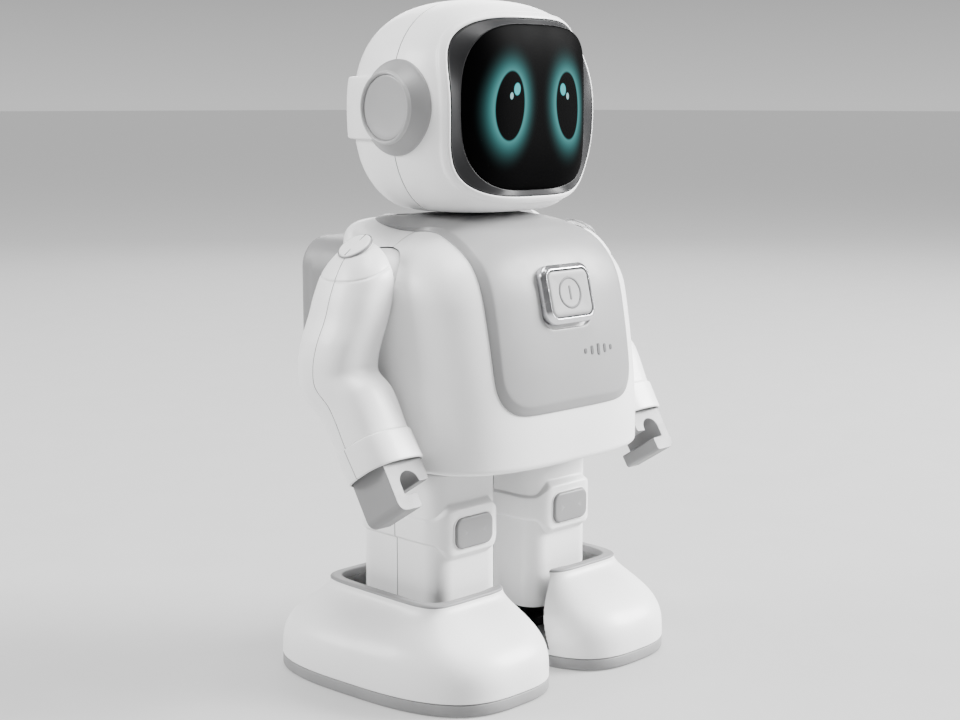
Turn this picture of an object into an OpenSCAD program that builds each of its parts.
// Walking humanoid toy robot: head with visor, torso with backpack, two swinging arms
// and two legs on parallelogram linkages that keep the feet flat.
// Millimetres. +Z is up, the robot faces -Y, its left side is +X.
// The origin is on the floor, at the centre of the robot's bounding box.

/* [Torso] */
// Half of the torso's width
torso_hw = 42.5; // [41.5:0.5:43]
// Height of the torso's lower edge above the floor
torso_bottom = 66.5; // [65:0.5:68]
// Height of the top of the shoulders
torso_top = 136.5; // [136:0.25:137]
// How far the belly stands in front of the centre
belly_y = 39.4; // [38:0.2:40.5]
// How far the torso's back lies behind the centre
back_y = 21; // [20:0.5:22]
// Wall thickness of the moulded shells
wall = 2; // [1.6:0.2:2.4]

/* [Head] */
// Half of the head's width
head_rx = 34; // [32:0.5:36]
// How far the back of the head lies behind its middle
head_ry = 33; // [32:0.5:34]
// How far the face stands in front of the head's middle
face_ry = 31.4; // [30.5:0.1:32]
// Half of the head's height before its base is cut flat
head_rz = 32.6; // [31:0.2:34]
// Height of the head's widest level
head_z = 166.6; // [166:0.2:168]
// Half of the visor's width
visor_hw = 29.5; // [27:0.5:31]
// Half of the visor's height
visor_hh = 25; // [23:0.5:26]

/* [Arms] */
// Height of the shoulder axis
shoulder_z = 119.5; // [119:0.25:121]
// Radius of the shoulder disc that turns in the torso
shoulder_r = 8.8; // [8.4:0.2:10]
// Angle between the forearm and a vertical line, in degrees
forearm_tilt = 32; // [28:1:34]

/* [Legs] */
// Distance of a leg's centre from the middle
leg_x = 20.3; // [20:0.1:21]
// Width of a leg
leg_w = 26.5; // [25:0.5:27]
// Depth of a leg
leg_d = 35; // [33:0.5:35]
// Height of the hip axis
hip_z = 84; // [82:0.5:86]
// Height of the ankle axis
ankle_z = 13; // [12.5:0.25:13.5]
// Distance from a leg's pivots back to its levelling link's pivots
link_dy = 10; // [9:0.5:10.5]

/* [Feet] */
// Distance of a foot's centre from the middle
foot_x = 29.4; // [29.2:0.1:30]
// Half of a sole's width
foot_hw = 26.3; // [25:0.1:26.4]
// Half of a sole's length
foot_hl = 41.3; // [40:0.1:42]
// Thickness of a sole
sole_t = 4; // [3.5:0.25:4]
// Height of the foot's upper rim
rim_z = 27; // [26:0.5:28]

/* [Hidden] */

$fn = 48;
white = "white";
grey = "darkgray";
dark = [0.16, 0.16, 0.18];
steel = "silver";

gap = 0.4;              // clearance between moving bodies
run = 0.05;             // radial clearance of a running fit
seam_y = 0.6;           // hip and ankle pins, and the seam between the legs' halves
big = 400;

// torso outline
chest_bulge = 3.2;      // exponents of the torso's plan outline, front and back
back_bulge = 5.5;
round_from = 112;       // height where the shoulders start to round off
neck_y = 2.5;
lean = 5;               // how far the chest leans back between the belly and the shoulders
belly_z = 75;
plate_t = 1;
plate_hw = 28.8;
plate_bottom = 82.2;
// half of the plate's edge where it runs back over the shoulders, seen from above
yoke = [[28.9, -18], [27.4, -13], [25.4, -8], [24.9, -3], [27.6, 3], [31.8, 7.5], [34, 11],
        [34.2, 12], [0, 12]];

// power button, in a frame that leans with the chest
button_at = [0, -35.6, 115.3];
button_lean = 13.9;
bezel_hw = 10.4;
bezel_hh = 8.6;
button_travel = 0.8;

// backpack
pack_hw = 36.2;
pack_z = [74, 129.5];
pack_back = foot_hl + 1.4;   // the backpack's back is as far from the centre as the toes

// head
head_y = 1;
head_bottom = 137.5;
head_seam = 1.2;
visor_z = 168;
// y, half width and half height of the funnel and of the screen
funnel = [[-16, 25.6, 23.4], [-18.3, 25.6, 23.4], [-22, 28.4, 24.2], [-60, 28.6, 24.3]];
lens = [[-16, 25.8, 23.6], [-18.3, 25.6, 23.4], [-20, 24.9, 23.1], [-22, 23.2, 22.2], [-23.8, 20.3, 20.3],
        [-24.7, 16.5, 17.5], [-25, 13, 14.5]];
ear_z = 168;
ear_y = 0;
neck_r = 9;

// arm centre line of the left arm, from the shoulder's top to the wrist
elbow = [54, 2, 97];
wrist_len = 34;          // elbow to the cuff's lower edge
cuff_len = 9;
wrist_dir = [-0.05, -sin(forearm_tilt), -cos(forearm_tilt)];
hand_w = 14;
hand_d = 15;
hand_len = 13.6;
shoulder_y = 1.5;
socket_x = 33.5;         // flat floor of the shoulder socket
hub_r = 6.6;

// legs and feet
leg_top = 76;
leg_neck_z = 64.2;       // above here the leg is narrower, to swing inside the torso
leg_y = 0.9;
leg_r = 6;
leg_bottom = 15;
knee_size = [14.8, 9.2];
band_z = [43, 50.2];
knee = [21, 46.1];       // x and z of the knee pad's centre
knee_y = -19.6;          // face of the knee pad
hip_pin_r = 2.5;
pin_r = 2;
pillar_hw = 5;           // half width of the pillar between the legs
frame_x = [12, 16];      // leg frame plate
link_x = [22, 25];       // levelling link plate
bracket_x = 9.5;         // innermost ankle bracket plate
foot_y = -1.4;
toe_in = 0.08;
rim_c = [25.5, 1.5];
rim_h = [16.5, 24.8];
rim_t = 3;

// ---------- helpers ----------
function spow(v, p) = sign(v) * pow(abs(v), p);
// outline with its own roundness in front (y < 0) and at the back
function outline(hx, front, back, ef, eb, n = 40) = [for (i = [0 : n - 1])
    let (a = 360 * i / n, e = a > 180 ? ef : eb, hy = a > 180 ? front : back)
    [hx * spow(cos(a), 2 / e), hy * spow(sin(a), 2 / e)]];
function superellipse(hx, hy, e, n = 40) = outline(hx, hy, hy, e, e, n);
function smooth(t) = t * t * (3 - 2 * t);
function mix(a, b, t) = a + (b - a) * t;
function unit(v) = v / norm(v);

// a closed solid through rings of equal length, listed from the bottom up
module loft(rings) {
    n = len(rings[0]);
    m = len(rings);
    sides = [for (j = [0 : m - 2]) for (i = [0 : n - 1]) for (half = [0, 1])
        let (a = j * n + i, b = j * n + (i + 1) % n, c = a + n, d = b + n)
        half == 0 ? [a, c, b] : [b, c, d]];
    bottom = [[for (i = [0 : n - 1]) i]];
    top = [[for (i = [n - 1 : -1 : 0]) (m - 1) * n + i]];
    polyhedron([for (r = rings) for (p = r) p], concat(bottom, top, sides));
}
// evaluates moulded, faceted shapes as one closed mesh
module moulded() resize([0, 0, 0]) children();
module side(s) {
    if (s > 0) children();
    else mirror([1, 0, 0]) children();
}
module half_space(axis, at, keep) {
    far = [for (i = [0 : 2]) i == axis ? at + keep * big / 2 : 0];
    translate(far) cube(big, center = true);
}
module rrect(w, h, r) {
    square([w - 2 * r, h], center = true);
    square([w, h - 2 * r], center = true);
    for (x = [-1, 1], y = [-1, 1]) translate([x * (w / 2 - r), y * (h / 2 - r)]) circle(r);
}
module x_cylinder(r, x0, x1, y, z) translate([x0, y, z]) rotate([0, 90, 0]) cylinder(r = r, h = x1 - x0);
module xz_plate(y0, y1) translate([0, y1, 0]) rotate([90, 0, 0]) linear_extrude(y1 - y0) children();
module yz_plate(x0, x1) translate([x0, 0, 0]) rotate([90, 0, 90]) linear_extrude(x1 - x0) children();

// ---------- torso ----------
function chest_line(z) = -belly_y + lean * pow(max(0, z - belly_z) / 37, 1.6);
function rounding(z, o, p) =
    pow(max(0, 1 - pow(max(0, z - round_from) / (torso_top + o - round_from), p)), 1 / p);
// the shoulders are round in front and boxy at the back
function torso_ring(z, o) =
    let (front = rounding(z, o, 2.25), back = rounding(z, o, 8),
         y0 = neck_y + (chest_line(z) - o - neck_y) * rounding(z, o, 3),
         y1 = neck_y + (back_y + o - neck_y) * back,
         pts = outline(torso_hw + o, (y1 - y0) / 2, (y1 - y0) / 2, chest_bulge, back_bulge))
    [for (p = pts) let (w = smooth(max(0, min(1, p[1] * 3.3 / (y1 - y0)))))
        [p[0] * mix(front, back, w), (y0 + y1) / 2 + p[1], z]];
module torso_body(o = 0, from = torso_bottom) {
    crown = torso_top + o - round_from;
    loft(concat([for (z = [from, torso_bottom + 3, 75, 85, 95, 104]) torso_ring(z, o)],
                [for (k = [0, 0.25, 0.42, 0.57, 0.7, 0.81, 0.9, 0.96, 0.992])
                    torso_ring(round_from + crown * k, o)]));
}
module button_frame() translate(button_at) rotate([-button_lean, 0, 0]) children();
module button_hole(d) button_frame() xz_plate(-8, 12)
    rrect(2 * bezel_hw - 2 + d, 2 * bezel_hh - 2 + d, 3.4);
module torso_wall() {
    difference() {
        union() {
            difference() {
                torso_body();
                torso_body(-wall, torso_bottom - 5);
            }
            for (s = [-1, 1]) side(s) intersection() {
                torso_body();
                x_cylinder(shoulder_r + gap + wall, socket_x - wall, big / 4, shoulder_y, shoulder_z);
            }
        }
        for (s = [-1, 1]) side(s) {
            x_cylinder(shoulder_r + gap, socket_x, big / 4, shoulder_y, shoulder_z);
            x_cylinder(3.3, socket_x - 2 * wall, socket_x + 1, shoulder_y, shoulder_z);
        }
        translate([0, neck_y, torso_top - 12]) cylinder(r = neck_r + 3, h = 20);
        button_hole(0);
    }
}
module torso_front_shell() color(white) moulded() intersection() {
    torso_wall();
    half_space(1, 0, -1);
}
module torso_back_shell() color(white) moulded() difference() {
    intersection() {
        torso_wall();
        half_space(1, 0, 1);
    }
    wire_port();
}
// hole for the wires between the torso and the backpack
module wire_port() xz_plate(back_y - 9, back_y + 5) translate([0, 126 - 4]) circle(3);
module chest_plate() color(grey) moulded() difference() {
    intersection() {
        torso_body(plate_t);
        union() {
            xz_plate(-60, -18) plate_outline();
            for (s = [-1, 1]) side(s) translate([0, 0, round_from]) linear_extrude(30)
                polygon(concat([[0, -18]], yoke));
        }
    }
    torso_body();
    button_hole(0);
    translate([0, neck_y, torso_top - 12]) cylinder(r = neck_r + 5, h = 20);
}
module plate_outline() hull() for (s = [-1, 1]) {
    translate([s * (plate_hw - 10), plate_bottom + 9]) circle(9);
    translate([s * (plate_hw - 9), 110]) circle(9);
    translate([s * (plate_hw - 1.2), 126]) circle(1);
    translate([s * 27, 140]) circle(1);
}
// closes the torso from below and carries the hip and link shafts
module hip_frame() color(dark) {
    difference() {
        translate([0, 0, torso_bottom + 0.5]) linear_extrude(2.5)
            polygon([for (p = torso_ring(torso_bottom + 2, -wall)) [p[0], p[1]]]);
        for (s = [-1, 1]) translate([s * leg_x, leg_y, torso_bottom - 1]) linear_extrude(6)
            rrect(leg_w - 1.6, leg_d - 0.4, 6);
    }
    difference() {
        yz_plate(-pillar_hw, pillar_hw)
            translate([seam_y + link_dy / 2, (torso_bottom + 3 + hip_z + 6) / 2])
            square([link_dy + 12, hip_z + 3 - torso_bottom], center = true);
        hip_shaft_rods();
    }
}
module hip_shaft_rods() {
    x_cylinder(hip_pin_r, -frame_x[1] - 3, frame_x[1] + 3, seam_y, hip_z);
    x_cylinder(pin_r, -link_x[1] - 3, link_x[1] + 3, seam_y + link_dy, hip_z);
}
// rods with a retaining ring outside each leg frame and each link
module hip_shafts() color(steel) {
    hip_shaft_rods();
    for (s = [-1, 1]) side(s) {
        x_cylinder(hip_pin_r + 1.2, frame_x[1] + gap, frame_x[1] + gap + 1, seam_y, hip_z);
        x_cylinder(pin_r + 1.2, link_x[1] + gap, link_x[1] + gap + 1, seam_y + link_dy, hip_z);
    }
}
module neck_post() color(dark) difference() {
    union() {
        translate([0, neck_y, 122]) cylinder(r = neck_r, h = 22);
        translate([0, neck_y, 122]) cylinder(r = neck_r + 6, h = 2);
    }
    translate([0, neck_y, 121]) cylinder(r = neck_r - 2, h = 24);
}
module shoulder_shafts() color(steel) for (s = [-1, 1]) side(s) {
    x_cylinder(3, socket_x - 5, 47, shoulder_y, shoulder_z);
    x_cylinder(5.5, socket_x - 5, socket_x - wall - 0.2, shoulder_y, shoulder_z);
}
module button_bezel() color(steel) button_frame() xz_plate(-1.9, 1.5) difference() {
    rrect(2 * bezel_hw - 2, 2 * bezel_hh - 2, 3.4);
    rrect(2 * bezel_hw - 3.6, 2 * bezel_hh - 3.6, 2.6);
}
module power_button() color(grey) button_frame() xz_plate(-1.7, 2)
    rrect(2 * bezel_hw - 4.4, 2 * bezel_hh - 4.4, 2.4);
module button_switch() color(dark) button_frame() xz_plate(2.2 + button_travel, 6)
    square([8, 8], center = true);
module main_board() color("darkgreen") button_frame() xz_plate(6, 7.6) square([37, 19], center = true);
module battery_pack() color("royalblue") translate([-22, 9.5, 96]) cube([44, 8, 22]);
module gear_motor() color("gold") {
    translate([-9, -16, 90]) cube([18, 20, 12]);
    translate([0, -8, 102]) cylinder(r = 7, h = 14);
}

// ---------- backpack ----------
module pack_outline(inset) translate([0, (pack_z[0] + pack_z[1]) / 2])
    rrect(2 * (pack_hw - inset), pack_z[1] - pack_z[0] - 2 * inset, 9 - inset / 2);
module backpack_shell() color(grey) moulded() difference() {
    xz_plate(10, pack_back - 1) pack_outline(0);
    xz_plate(back_y + 2, pack_back) pack_outline(2.5);
    torso_body();
    wire_port();
}
module backpack_cover() color(grey) difference() {
    union() {
        xz_plate(pack_back - 3.4, pack_back - 1) pack_outline(2.6);
        xz_plate(pack_back - 1, pack_back) pack_outline(4);
    }
    xz_plate(pack_back - 0.8, pack_back + 1) pack_outline(6.5);
}
module speaker_driver() color(dark) translate([0, pack_back - 3.6, 104]) rotate([90, 0, 0]) {
    cylinder(r1 = 20, r2 = 12, h = 7);
    cylinder(r = 9, h = 12);
}
module back_screws() color(steel) for (x = [-1, 1], z = [82, 122])
    xz_plate(back_y + 2, back_y + 4) translate([x * 28, z]) circle(2.2);

// ---------- head ----------
function head_ring(phi, o) =
    let (k = pow(cos(phi), 2 / 2.55), z = head_z + (head_rz + o) * spow(sin(phi), 2 / 2.55))
    [for (p = outline((head_rx + o) * k, (face_ry + o) * k, (head_ry + o) * k, 2.6, 2.6))
        [p[0], head_y + p[1], z]];
module head_body(o = 0, floor_z = head_bottom) intersection() {
    loft([for (phi = [-86, -74, -62, -50, -38, -26, -13, 0, 13, 26, 38, 50, 62, 72, 80, 86])
        head_ring(phi, o)]);
    half_space(2, floor_z, 1);
}
module visor_prism(o) xz_plate(-70, -8) translate([0, visor_z])
    polygon(superellipse(visor_hw + o, visor_hh + o, 3.6));
module head_wall() difference() {
    head_body();
    head_body(-wall, head_bottom + wall);
    translate([0, neck_y, head_bottom - 1]) cylinder(r = neck_r + 2.2, h = 10);
}
module head_front_shell() color(white) moulded() intersection() {
    difference() {
        head_wall();
        visor_prism(0.2);
    }
    half_space(1, head_seam, -1);
}
module head_back_shell() color(white) moulded() intersection() {
    head_wall();
    half_space(1, head_seam, 1);
}
// black screen, nearly flat, in a funnel-shaped frame that follows the head's surface
module visor() color("black") moulded() difference() {
    union() {
        difference() {
            intersection() {
                head_body(-0.3);
                visor_prism(0);
                half_space(1, -15, -1);
            }
            loft([for (r = funnel) screen_ring(r)]);
        }
        loft([for (r = lens) screen_ring(r)]);
    }
    xz_plate(-23.2, 0) translate([0, visor_z]) square([44, 34], center = true);
}
function screen_ring(r) = [for (p = superellipse(r[1], r[2], 3.4)) [p[0], r[0], visor_z + p[1]]];
module face_display() color(dark) xz_plate(-22.9, -21) translate([0, visor_z]) rrect(43, 33, 4);
// raised strap round the back of the head, from ear to ear
module head_band() color(white) moulded() difference() {
    intersection() {
        head_body(2);
        translate([0, 50 + ear_y + 4, ear_z]) cube([big, 100, 18], center = true);
    }
    head_body();
    ear_blank();
    side(-1) ear_blank();
}
module neck_collar() color(dark) difference() {
    translate([0, neck_y, head_bottom + 0.2]) cylinder(r = neck_r + 2, h = 7);
    translate([0, neck_y, head_bottom - 1]) cylinder(r = neck_r + run, h = 10);
}
// drop shape: its tail runs back over the strap
module ear_blank() hull() {
    x_cylinder(13.6, 27, 33.4, ear_y, ear_z, $fn = 40);
    x_cylinder(5.5, 27, 34.4, ear_y + 12.4, ear_z, $fn = 24);
    x_cylinder(10.4, 35, 37.4, ear_y, ear_z, $fn = 40);
}
module ear_cup() color(grey) moulded() difference() {
    ear_blank();
    head_body();
    x_cylinder(9.8, 35.4, 40, ear_y, ear_z);
}
module ear_cap() color(grey) {
    x_cylinder(9.6, 35.5, 37.7, ear_y, ear_z);
    x_cylinder(7.4, 37.7, 38.3, ear_y, ear_z);
}
module ear_cup_left() ear_cup();
module ear_cup_right() side(-1) ear_cup();
module ear_cap_left() ear_cap();
module ear_cap_right() side(-1) ear_cap();

// ---------- arms ----------
wrist = elbow + wrist_len * unit(wrist_dir);
cuff_top = wrist - cuff_len * unit(wrist_dir);
// rows of the arm: centre, half width, half depth, tilt of the section in degrees, roundness
arm_rows = [
    [cuff_top, 10, 10.2, forearm_tilt, 2.7],
    [cuff_top - 0.2 * unit(wrist_dir), 9.4, 9.7, forearm_tilt, 2.7],
    [mix(cuff_top, elbow, 0.5), 9.4, 10.6, forearm_tilt, 2.7],
    [elbow + [0, -0.6, -5], 9.4, 11.4, forearm_tilt * 0.7, 2.7],
    [elbow + [-0.2, 0.3, 0.5], 9.5, 11.8, forearm_tilt * 0.35, 2.7],
    [elbow + [-1.2, 0, 6], 9.4, 12, 5, 2.7],
    [[50.5, shoulder_y, 110], 9, 12.1, 0, 2.6],
    [[48.2, shoulder_y, 117], 9, 11.9, 0, 2.5],
    [[46.4, shoulder_y, 122], 8.6, 11.2, 0, 2.4],
    [[45.4, shoulder_y, 125.6], 7.3, 9.2, 0, 2.3],
    [[45, shoulder_y, 127.9], 5.5, 7.2, 0, 2.2],
    [[44.6, shoulder_y, 129.5], 3.7, 5, 0, 2.1],
    [[44.2, shoulder_y, 130.4], 1.8, 2.6, 0, 2]];
function arm_ring(r, o) =
    [for (p = superellipse(r[1] + o, r[2] + o, r[4], 28))
        r[0] + [p[0], p[1] * cos(r[3]), -p[1] * sin(r[3])]];
module arm_body(o = 0, end = wrist)
    loft(concat([arm_ring([end, 10, 10.2, forearm_tilt, 2.7], o)], [for (r = arm_rows) arm_ring(r, o)]));
module arm_outer() {
    intersection() {
        arm_body();
        half_space(0, torso_hw + gap, 1);
    }
    x_cylinder(shoulder_r, socket_x + gap, torso_hw + 2 * gap, shoulder_y, shoulder_z);
}
module arm_wall() difference() {
    arm_outer();
    intersection() {
        arm_body(-wall, wrist + unit(wrist_dir));
        half_space(2, 124, -1);
        half_space(0, torso_hw + gap + wall, 1);
    }
    x_cylinder(hub_r + 0.1, 30, 49, shoulder_y, shoulder_z);
    arm_hand_frame() translate([0, 0, -9]) linear_extrude(30) rrect(hand_w, hand_d, 2.4);
    cap_frame() cylinder(r = 5.2, h = 4);
}
// hand frame: origin in the middle of the cuff's lower edge, +Z along the hand to its tip
module arm_hand_frame() translate(wrist) rotate([180 - forearm_tilt, 0, 0]) children();
module cap_frame() translate([47.8, shoulder_y, 129.7]) rotate([0, 34, 0])
    translate([0, 0, -1.6]) children();
module arm_front_shell() color(white) moulded() intersection() {
    arm_wall();
    arm_split();
}
module arm_back_shell() color(white) moulded() difference() {
    arm_wall();
    arm_split();
}
// the part of space in front of the bent seam surface
module arm_split() yz_plate(0, 80) polygon([[-90, 20],
    [wrist[1] + 1 + 12 * sin(-forearm_tilt), wrist[2] - 12],
    [elbow[1] - 0.4, elbow[2] + 1], [shoulder_y - 0.5, 112], [shoulder_y - 0.5, 150], [-90, 150]]);
module arm_front_shell_left() arm_front_shell();
module arm_front_shell_right() side(-1) arm_front_shell();
module arm_back_shell_left() arm_back_shell();
module arm_back_shell_right() side(-1) arm_back_shell();
module arm_hub() color(dark) difference() {
    x_cylinder(hub_r, socket_x + gap, 48, shoulder_y, shoulder_z);
    x_cylinder(3 + run, 30, 47.2, shoulder_y, shoulder_z);
}
module arm_hub_left() arm_hub();
module arm_hub_right() side(-1) arm_hub();
module shoulder_cap() color(white) cap_frame() cylinder(r = 5, h = 1.9);
module shoulder_cap_left() shoulder_cap();
module shoulder_cap_right() side(-1) shoulder_cap();
// C-shaped gripping hand: its slot runs front to back and opens towards the body,
// and the lower jaw is shorter than the upper one
module hand() color(grey) arm_hand_frame() difference() {
    translate([0, 0, -8]) linear_extrude(hand_len + 8) rrect(hand_w - 0.1, hand_d - 0.1, 2.3);
    rotate([90, 0, 0]) translate([0, 0, -20]) linear_extrude(40) hand_slot();
}
module hand_slot() {
    translate([0, 6.1]) circle(3.3);
    translate([-3.3, 6.1]) square([6.6, 3.2]);
    translate([-12, 6.4]) square([10.8, 20]);
}
module hand_left() hand();
module hand_right() side(-1) hand();

// ---------- legs ----------
module leg_section(o = 0) translate([leg_x, leg_y]) rrect(leg_w + 2 * o, leg_d + 2 * o, leg_r + o);
module leg_wall() difference() {
    union() {
        translate([0, 0, leg_bottom]) linear_extrude(leg_neck_z - leg_bottom) leg_section();
        translate([0, 0, leg_neck_z - wall]) linear_extrude(leg_top - leg_neck_z + wall) leg_section(-wall);
        translate([0, 0, band_z[0]]) linear_extrude(band_z[1] - band_z[0]) leg_section(0.9);
        xz_plate(knee_y + 0.9, leg_y - 10) translate(knee) rrect(19, 14.6, 5);
    }
    translate([0, 0, leg_bottom - 1]) linear_extrude(leg_neck_z - leg_bottom - wall + 1) leg_section(-wall);
    translate([0, 0, leg_bottom]) linear_extrude(leg_top) leg_section(-2 * wall);
    xz_plate(knee_y - 2, knee_y + 1.8) translate(knee) rrect(knee_size[0] + 0.2, knee_size[1] + 0.2, 2.8);
}
module leg_front_shell() color(white) intersection() {
    leg_wall();
    half_space(1, seam_y, -1);
}
module leg_back_shell() color(white) intersection() {
    leg_wall();
    half_space(1, seam_y, 1);
}
module leg_front_shell_left() leg_front_shell();
module leg_front_shell_right() side(-1) leg_front_shell();
module leg_back_shell_left() leg_back_shell();
module leg_back_shell_right() side(-1) leg_back_shell();
module knee_pad() color(grey) xz_plate(knee_y, knee_y + 1.8) translate(knee)
    rrect(knee_size[0], knee_size[1], 2.7);
module knee_pad_left() knee_pad();
module knee_pad_right() side(-1) knee_pad();
// plate between the hip shaft and the ankle pin, held by the shells through two webs
module leg_frame() color(dark) difference() {
    union() {
        yz_plate(frame_x[0], frame_x[1]) {
            translate([seam_y, (hip_z + ankle_z) / 2]) square([7, hip_z - ankle_z], center = true);
            translate([seam_y, hip_z]) circle(5);
            translate([seam_y, ankle_z]) circle(4.2);
        }
        for (z = [30, 55]) translate([leg_x - leg_w / 2 + wall, seam_y - 3.5, z])
            cube([frame_x[0] - leg_x + leg_w / 2 - wall + 1, 7, 4]);
    }
    x_cylinder(hip_pin_r + run, 0, 40, seam_y, hip_z);
    x_cylinder(pin_r + run, 0, 40, seam_y, ankle_z);
}
module leg_frame_left() leg_frame();
module leg_frame_right() side(-1) leg_frame();
// second bar of the parallelogram: keeps the sole level while the leg swings
module leveling_link() color(dark) difference() {
    yz_plate(link_x[0], link_x[1]) {
        translate([seam_y + link_dy, (hip_z + ankle_z) / 2]) square([3.4, hip_z - ankle_z], center = true);
        for (z = [hip_z, ankle_z]) translate([seam_y + link_dy, z]) circle(3.8);
    }
    x_cylinder(pin_r + run, 0, 40, seam_y + link_dy, hip_z);
    x_cylinder(pin_r + 0.3, 0, 40, seam_y + link_dy, ankle_z);
}
module leveling_link_left() leveling_link();
module leveling_link_right() side(-1) leveling_link();

// ---------- feet ----------
function sole_ring(o, z) = [for (p = superellipse(foot_hw + o, foot_hl + o, 2.92))
    [foot_x + p[0] + toe_in * (p[1] + foot_y), foot_y + p[1], z]];
function rim_ring(o, z) = [for (p = superellipse(rim_h[0] + o, rim_h[1] + o, 6))
    [rim_c[0] + p[0], rim_c[1] + p[1], z]];
function foot_ring(o, z) =
    let (t = (z - sole_t) / (rim_z - sole_t), w = smooth(pow(max(0, min(1, t)), 1.9)),
         a = sole_ring(o, z), b = rim_ring(o, z))
    [for (i = [0 : len(a) - 1]) mix(a[i], b[i], w)];
module foot_body(o = 0, low = sole_t, high = rim_z)
    loft(concat([foot_ring(o, low)],
                [for (z = [7, 10.5, 14, 17, 20, 22.5, 25]) foot_ring(o, z)], [foot_ring(o, high)]));
module foot_shell() color(white) moulded() difference() {
    foot_body();
    foot_body(-wall, sole_t - 1, rim_z + 1);
    open_flank();
}
// the side of a foot that faces the other foot is open above a low sill
module open_flank() intersection() {
    xz_plate(-40, 20) polygon([[-20, sole_t + 1.5], [7, sole_t + 1.5], [10, 15], [13.5, rim_z],
                               [13.5, 40], [-20, 40]]);
    yz_plate(-20, 20) polygon([[-27, sole_t + 1], [20, sole_t + 1], [20, 40], [-20, 40], [-20, rim_z]]);
}
module foot_shell_left() foot_shell();
module foot_shell_right() side(-1) foot_shell();
module foot_collar() color(grey) difference() {
    translate([0, 0, rim_z]) linear_extrude(0.8) polygon([for (p = rim_ring(0, 0)) [p[0], p[1]]]);
    translate([0, 0, rim_z - 1]) linear_extrude(3) polygon([for (p = rim_ring(-rim_t, 0)) [p[0], p[1]]]);
    open_flank();
}
module foot_collar_left() foot_collar();
module foot_collar_right() side(-1) foot_collar();
module sole() color(grey) difference() {
    union() {
        translate([0, 0, 0.6]) linear_extrude(sole_t - 0.6)
            polygon([for (p = sole_ring(0, 0)) [p[0], p[1]]]);
        linear_extrude(0.6) polygon([for (p = sole_ring(-0.6, 0)) [p[0], p[1]]]);
    }
    screw_places() translate([0, 0, -1]) cylinder(r = 2.4, h = 2.2);
    screw_places() cylinder(r = 1.1, h = 10);
}
module screw_places() for (p = [[22, -24], [38, -24], [22, 22], [38, 22]])
    translate([p[0], p[1], 0]) children();
module sole_left() sole();
module sole_right() side(-1) sole();
module sole_screws() color(steel) screw_places() {
    translate([0, 0, 0.3]) cylinder(r = 2.2, h = 0.9);
    translate([0, 0, 1.2]) cylinder(r = 1, h = sole_t - 0.2);
}
module sole_screws_left() sole_screws();
module sole_screws_right() side(-1) sole_screws();
module ankle_bracket() color(dark) difference() {
    union() {
        translate([bracket_x, seam_y - 6, sole_t]) cube([link_x[1] + 3 - bracket_x, link_dy + 12, 2.5]);
        for (x = [bracket_x, frame_x[1] + 0.5, link_x[1] + 0.5]) yz_plate(x, x + 2) {
            translate([seam_y - 4, sole_t]) square([link_dy + 8, ankle_z - sole_t]);
            for (y = [seam_y, seam_y + link_dy]) translate([y, ankle_z]) circle(4);
        }
    }
    x_cylinder(pin_r, 0, 40, seam_y, ankle_z);
    x_cylinder(pin_r, 0, 40, seam_y + link_dy, ankle_z);
}
module ankle_bracket_left() ankle_bracket();
module ankle_bracket_right() side(-1) ankle_bracket();
module ankle_pins() color(steel) {
    x_cylinder(pin_r, bracket_x, frame_x[1] + 3, seam_y, ankle_z);
    x_cylinder(pin_r, frame_x[1] + 0.5, link_x[1] + 3, seam_y + link_dy, ankle_z);
}
module ankle_pins_left() ankle_pins();
module ankle_pins_right() side(-1) ankle_pins();

torso_front_shell();
torso_back_shell();
hip_frame();
hip_shafts();
chest_plate();
button_bezel();
power_button();
button_switch();
main_board();
battery_pack();
gear_motor();
backpack_shell();
backpack_cover();
speaker_driver();
back_screws();
neck_post();
shoulder_shafts();
head_front_shell();
head_back_shell();
head_band();
visor();
face_display();
neck_collar();
ear_cup_left();
ear_cup_right();
ear_cap_left();
ear_cap_right();
arm_front_shell_left();
arm_front_shell_right();
arm_back_shell_left();
arm_back_shell_right();
arm_hub_left();
arm_hub_right();
shoulder_cap_left();
shoulder_cap_right();
hand_left();
hand_right();
leg_front_shell_left();
leg_front_shell_right();
leg_back_shell_left();
leg_back_shell_right();
leg_frame_left();
leg_frame_right();
knee_pad_left();
knee_pad_right();
leveling_link_left();
leveling_link_right();
foot_shell_left();
foot_shell_right();
foot_collar_left();
foot_collar_right();
sole_left();
sole_right();
ankle_bracket_left();
ankle_bracket_right();
ankle_pins_left();
ankle_pins_right();
sole_screws_left();
sole_screws_right();
